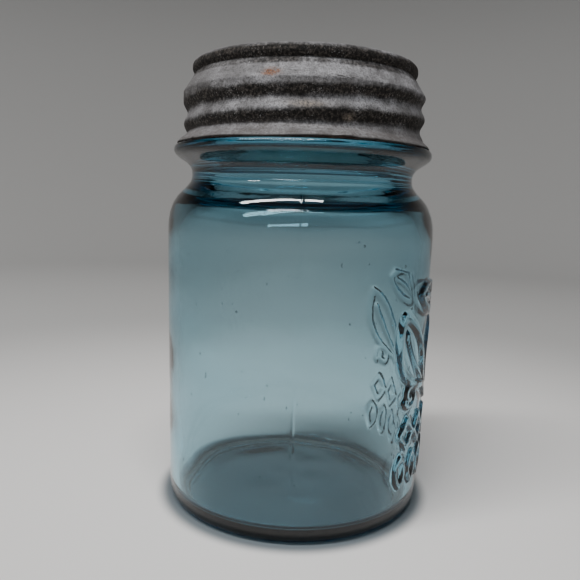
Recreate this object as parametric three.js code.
// Mason jar: a pint glass jar with a moulded screw thread, a lined zinc screw cap, the opal glass
// liner that the cap holds, and the rubber ring on the jar's ledge.
// Millimetres, +Z up. The origin is on the axis, on the surface the jar stands on.
import * as THREE from 'three';

// ---- Driving dimensions ----
const GAP = 0.35;                // clearance between pieces that would touch
const TURN_STEPS = 52;           // facets round the axis

// glass body
const BODY_R = 41;
const BASE_RING_OUTER_R = 37.9;  // the flat ring that the jar stands on
const BASE_RING_INNER_R = 34.4;
const HEEL_RISE = 4.2;           // height of the rounded heel between that ring and the wall
const PUSH_UP = 2.6;             // height of the underside's dome at the axis
const SHOULDER_START_Z = 86.5;
const SHOULDER_RISE = 12;
const SHOULDER_DEPTH = 9.5;
const SHOULDER_SWEEP = 1.2;      // radians of the shoulder's quarter ellipse that are kept
const NECK_R = 33.6;
const NECK_LOW_Z = 100.6;
const BEAD_LOW_Z = 103.2;
const BEAD_R = 38.95;
const BEAD_MID_Z = 108.5;
const LEDGE_Z = 110.1;

// glass cavity
const WALL_INNER_R = 37.8;
const FLOOR_Z = 5;
const INNER_HEEL_R = 6;
const INNER_SHOULDER_START_Z = 86;
const INNER_SHOULDER_RISE = 11;
const MOUTH_R = 29.5;

// thread, right-handed, four turns to the inch
const PITCH = 25.4 / 4;
const ROOT_R = 33.2;
const CREST_R = 34.8;
const THREAD_WIDTH = 0.567;      // share of the pitch that one turn's bump covers
const THREAD_LOW_Z = 114.3;      // crest height where the thread begins
const THREAD_HIGH_Z = 124;       // crest height where it ends
const CREST_FRONT_Z = 117.3;     // a crest height at the front, azimuth -90 degrees
const FADE = Math.PI / 6;        // turn angle over which each thread end runs out
const FINISH_TOP_Z = 125;        // the threaded wall tapers in above this
const LIP_Z = 130;
const LIP_R = 31;

// zinc cap
const SHEET = 0.65;
const CAP_EDGE_R = 38;
const CAP_EDGE_Z = 110.6;
const RIDGE_R = 36;
const GROOVE_DEPTH = 1.15;
const FLARE_TOP_Z = 113.9;       // below this the skirt flares out to the edge
const LAST_GROOVE_Z = 123.4;     // the rolled groove runs out at about this height
const GROOVE_FADE = 0.9;         // half the height over which it runs out
const CONE_SLOPE = 0.66;         // how fast the taper above the last ridge draws in
const CRIMP_R = 32.55;
const CRIMP_Z = 130.1;
const RIM_R = 33.3;
const RIM_FLAT_R = 31.6;
const CAP_TOP_Z = 133.6;
const PANEL_R = 23.2;
const PANEL_STEP = 0.6;

// liner and ring
const LINER_R = 32;
const LINER_LOW_Z = LIP_Z + GAP;
const LINER_TOP_Z = CAP_TOP_Z - PANEL_STEP - SHEET - GAP;
const BOSS_R = 27.5;
const BOSS_DROP = 1.5;
const RING_INNER_R = ROOT_R + GAP;
const RING_OUTER_R = 36;
const RING_THICKNESS = 1.2;

// ---- Materials ----
const finish = (color, roughness, metalness, extra = {}) =>
  new THREE.MeshStandardMaterial({ color, roughness, metalness, ...extra });
const aquaGlass = finish(0x6f9ea6, 0.06, 0, { transparent: true, opacity: 0.45 });
const agedZinc = finish(0x6e6b66, 0.75, 0.6);
const opalGlass = finish(0xeeeee6, 0.15, 0);
const rubber = finish(0x5a3a2e, 0.85, 0);

// ---- Small helpers ----
const point = (r, z) => new THREE.Vector2(r, z);

// Points on a quarter-ellipse arc round (r, z), from one angle to another, both ends kept.
function arc(r, z, radiusR, radiusZ, from, to, steps) {
  return Array.from({ length: steps + 1 }, (_, i) => {
    const angle = from + (to - from) * i / steps;
    return point(r + radiusR * Math.cos(angle), z + radiusZ * Math.sin(angle));
  });
}

// Evenly spaced heights from one to another, both ends kept.
function heights(from, to, steps) {
  return Array.from({ length: steps + 1 }, (_, i) => from + (to - from) * i / steps);
}

// Turns a profile round +Z. A shape function may move each point's radius by azimuth and height.
function turned(profile, radiusAt = (r) => r) {
  const geometry = new THREE.LatheGeometry(profile, TURN_STEPS);
  geometry.rotateX(Math.PI / 2);
  const position = geometry.attributes.position;
  const rows = profile.length;
  for (let i = 0; i < position.count; i += 1) {
    const { x: r, y: z } = profile[i % rows];
    const azimuth = 2 * Math.PI * (Math.floor(i / rows) % TURN_STEPS) / TURN_STEPS;
    const radius = radiusAt(r, z, azimuth, i % rows);
    position.setXYZ(i, radius * Math.cos(azimuth), radius * Math.sin(azimuth), z);
  }
  geometry.computeVertexNormals();
  return geometry;
}

// Turns travelled along the thread at this azimuth and height, counted from the crest at the front.
const turnsFromFront = (z, azimuth) => (z - CREST_FRONT_Z) / PITCH - (azimuth + Math.PI / 2) / (2 * Math.PI);

// ---- Jar ----
// How far the thread stands out of its root: a rounded bump along a helix, run out at both ends.
function threadHeight(z, azimuth) {
  const turns = turnsFromFront(z, azimuth);
  const offset = turns - Math.round(turns);
  const crestZ = z - offset * PITCH;
  const fadeZ = PITCH * FADE / (2 * Math.PI);
  const runOut = Math.min(crestZ - THREAD_LOW_Z, THREAD_HIGH_Z - crestZ) / fadeZ;
  if (Math.abs(offset) >= THREAD_WIDTH / 2 || runOut <= -0.5) {
    return 0;
  }
  const bump = Math.cos(Math.PI * offset / THREAD_WIDTH) ** 2;
  return (CREST_R - ROOT_R) * bump * THREE.MathUtils.smoothstep(runOut, -0.5, 0.5);
}

function jarProfile() {
  const rootHeights = heights(LEDGE_Z, FINISH_TOP_Z, 18);
  return [
    point(0, PUSH_UP),
    point(20, 2.2),
    point(30, 1.4),
    point(BASE_RING_INNER_R, 0),
    ...arc(BASE_RING_OUTER_R, HEEL_RISE, BODY_R - BASE_RING_OUTER_R, HEEL_RISE, -Math.PI / 2, 0, 4),
    ...arc(BODY_R - SHOULDER_DEPTH, SHOULDER_START_Z, SHOULDER_DEPTH, SHOULDER_RISE, 0, SHOULDER_SWEEP, 6),
    point(NECK_R + 0.4, 99.2),
    point(NECK_R, NECK_LOW_Z),
    point(NECK_R, BEAD_LOW_Z),
    point(36.2, 105.5),
    point(38.3, 106.9),
    point(BEAD_R, BEAD_MID_Z),
    point(38.6, 109.6),
    point(37.6, LEDGE_Z),
    ...rootHeights.map((z) => point(ROOT_R, z)),
    point(31.5, 128.4),
    point(LIP_R, 129.4),
    point(LIP_R - 0.4, LIP_Z),
    point(MOUTH_R, LIP_Z - 0.4),
    point(MOUTH_R, INNER_SHOULDER_START_Z + INNER_SHOULDER_RISE),
    ...arc(MOUTH_R, INNER_SHOULDER_START_Z, WALL_INNER_R - MOUTH_R, INNER_SHOULDER_RISE, 1.2, 0, 5),
    ...arc(
      WALL_INNER_R - INNER_HEEL_R, FLOOR_Z + INNER_HEEL_R, INNER_HEEL_R, INNER_HEEL_R, 0, -Math.PI / 2, 4,
    ),
    point(20, FLOOR_Z + 0.4),
    point(0, FLOOR_Z + 0.6),
  ];
}

function glassJar() {
  const isThreadedWall = (r, z) => r === ROOT_R && z > LEDGE_Z && z < FINISH_TOP_Z;
  const radiusAt = (r, z, azimuth) => (isThreadedWall(r, z) ? r + threadHeight(z, azimuth) : r);
  return new THREE.Mesh(turned(jarProfile(), radiusAt), aquaGlass);
}

// ---- Zinc cap ----
// Depth of the rolled helical groove, in step with the jar's thread, which runs out below the taper.
function grooveDepth(z, azimuth) {
  const turns = turnsFromFront(z, azimuth) - 0.5;
  const grooveZ = z - (turns - Math.round(turns)) * PITCH;
  const runOut = (grooveZ - LAST_GROOVE_Z) / GROOVE_FADE;
  const left = 1 - THREE.MathUtils.smoothstep(runOut, -1, 1);
  return GROOVE_DEPTH * left * (1 + Math.cos(2 * Math.PI * turns)) / 2;
}

// Outer radius of the flared edge: it swings out to the edge in a smooth curve, and ends below the ridges.
function flareRadius(z) {
  const share = THREE.MathUtils.smoothstep(z, CAP_EDGE_Z, FLARE_TOP_Z);
  return z < FLARE_TOP_Z ? THREE.MathUtils.lerp(CAP_EDGE_R, RIDGE_R - GROOVE_DEPTH, share) : 0;
}

// Outer radius of the whole skirt, from the edge up to the crimp.
function skirtRadius(z, azimuth) {
  const taper = Math.min(RIDGE_R, CRIMP_R + CONE_SLOPE * (CRIMP_Z - z));
  return Math.max(flareRadius(z), taper - grooveDepth(z, azimuth));
}

function zincCap() {
  const panelZ = CAP_TOP_Z - PANEL_STEP;
  const skirtHeights = heights(CAP_EDGE_Z, CRIMP_Z, 20);
  const inside = [
    point(0, panelZ - SHEET),
    point(PANEL_R, panelZ - SHEET),
    point(PANEL_R + 0.8, CAP_TOP_Z - SHEET),
    point(RIM_FLAT_R, CAP_TOP_Z - SHEET),
    point(RIM_R - SHEET, CAP_TOP_Z - 1.5),
    point(RIM_R - SHEET, CRIMP_Z + 1.1),
    point(RIM_R - SHEET - 0.35, CRIMP_Z + 0.5),
  ];
  // The skirt's rows hold how far they lie from the skirt's outer surface, and skirtRadius adds the rest.
  const skirt = [
    ...skirtHeights.toReversed().map((z) => point(-SHEET, z)),
    ...skirtHeights.map((z) => point(0, z)),
  ];
  const outside = [
    point(RIM_R - 0.35, CRIMP_Z + 0.5),
    point(RIM_R, CRIMP_Z + 1.1),
    point(RIM_R, CAP_TOP_Z - 1.4),
    point(RIM_R - 0.35, CAP_TOP_Z - 0.6),
    point(RIM_R - 1.0, CAP_TOP_Z - 0.1),
    point(RIM_FLAT_R, CAP_TOP_Z),
    point(PANEL_R + 0.8, CAP_TOP_Z),
    point(PANEL_R, panelZ),
    point(0, panelZ),
  ];
  const isSkirt = (row) => row >= inside.length && row < inside.length + skirt.length;
  const radiusAt = (r, z, azimuth, row) => (isSkirt(row) ? skirtRadius(z, azimuth) + r : r);
  return new THREE.Mesh(turned([...inside, ...skirt, ...outside], radiusAt), agedZinc);
}

// ---- Opal liner ----
function opalLiner() {
  const profile = [
    point(0, LINER_LOW_Z - BOSS_DROP),
    point(BOSS_R - 0.8, LINER_LOW_Z - BOSS_DROP),
    point(BOSS_R, LINER_LOW_Z),
    point(LINER_R - 0.5, LINER_LOW_Z),
    point(LINER_R, LINER_LOW_Z + 0.5),
    point(LINER_R, LINER_TOP_Z - 0.6),
    point(LINER_R - 0.6, LINER_TOP_Z),
    point(0, LINER_TOP_Z),
  ];
  return new THREE.Mesh(turned(profile), opalGlass);
}

// ---- Jar ring ----
function jarRing() {
  const low = LEDGE_Z + GAP;
  const profile = [
    point(RING_INNER_R, low),
    point(RING_OUTER_R, low),
    point(RING_OUTER_R, low + RING_THICKNESS),
    point(RING_INNER_R, low + RING_THICKNESS),
    point(RING_INNER_R, low),
  ];
  return new THREE.Mesh(turned(profile), rubber);
}

// ---- Assembly ----
function named(name, mesh) {
  mesh.name = name;
  return mesh;
}

const masonJar = new THREE.Group();
masonJar.add(
  named('glass_jar', glassJar()),
  named('jar_ring', jarRing()),
  named('opal_liner', opalLiner()),
  named('zinc_cap', zincCap()),
);

export default masonJar;
